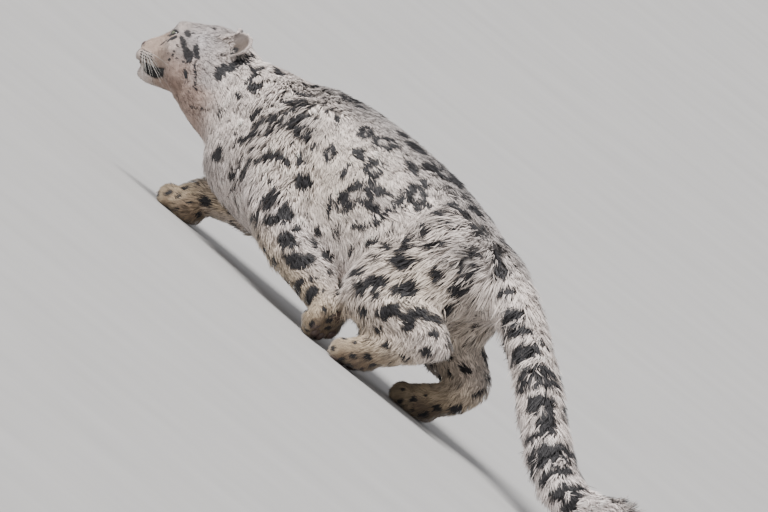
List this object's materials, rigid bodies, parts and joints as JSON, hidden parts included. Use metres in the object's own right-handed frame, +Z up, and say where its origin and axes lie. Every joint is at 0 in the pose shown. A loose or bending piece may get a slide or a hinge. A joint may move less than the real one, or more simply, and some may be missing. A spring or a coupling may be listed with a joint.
{
  "type": "snow leopard",
  "caption": "Life-size still model of a snow leopard walking low, head raised ahead, long thick tail held out behind, in a spotted winter coat.",
  "frame": {"origin": "middle of the animal's outline seen from above, at the level of the floor", "axes": "+Z is up, the animal faces -Y, and its left side is +X"},
  "size_m": [0.3334, 1.778, 0.434],
  "materials": {
    "coat": "long soft winter fur, pale grey and cream with dark rosettes",
    "eye": "wet clear cornea over a grey-green iris",
    "bare_skin": "bare skin of the nose, lips and pads",
    "claw": "smooth horn"
  },
  "bodies": {
    "root": {"head": "coat", "neck": "coat", "trunk_front": "coat", "trunk_rear": "coat", "tail_root": "coat", "tail_middle": "coat", "tail_lower": "coat", "tail_tip": "coat", "foreleg_left_upper": "coat", "foreleg_left_lower": "coat", "forepaw_left": "coat", "foreleg_right_upper": "coat", "foreleg_right_lower": "coat", "forepaw_right": "coat", "thigh_left": "coat", "shank_left": "coat", "hind_foot_left": "coat", "thigh_right": "coat", "shank_right": "coat", "hind_foot_right": "coat", "ear_left": "coat", "ear_right": "coat", "eye_left": "eye", "eye_right": "eye", "nose_pad": "bare_skin"}
  },
  "joints": []
}
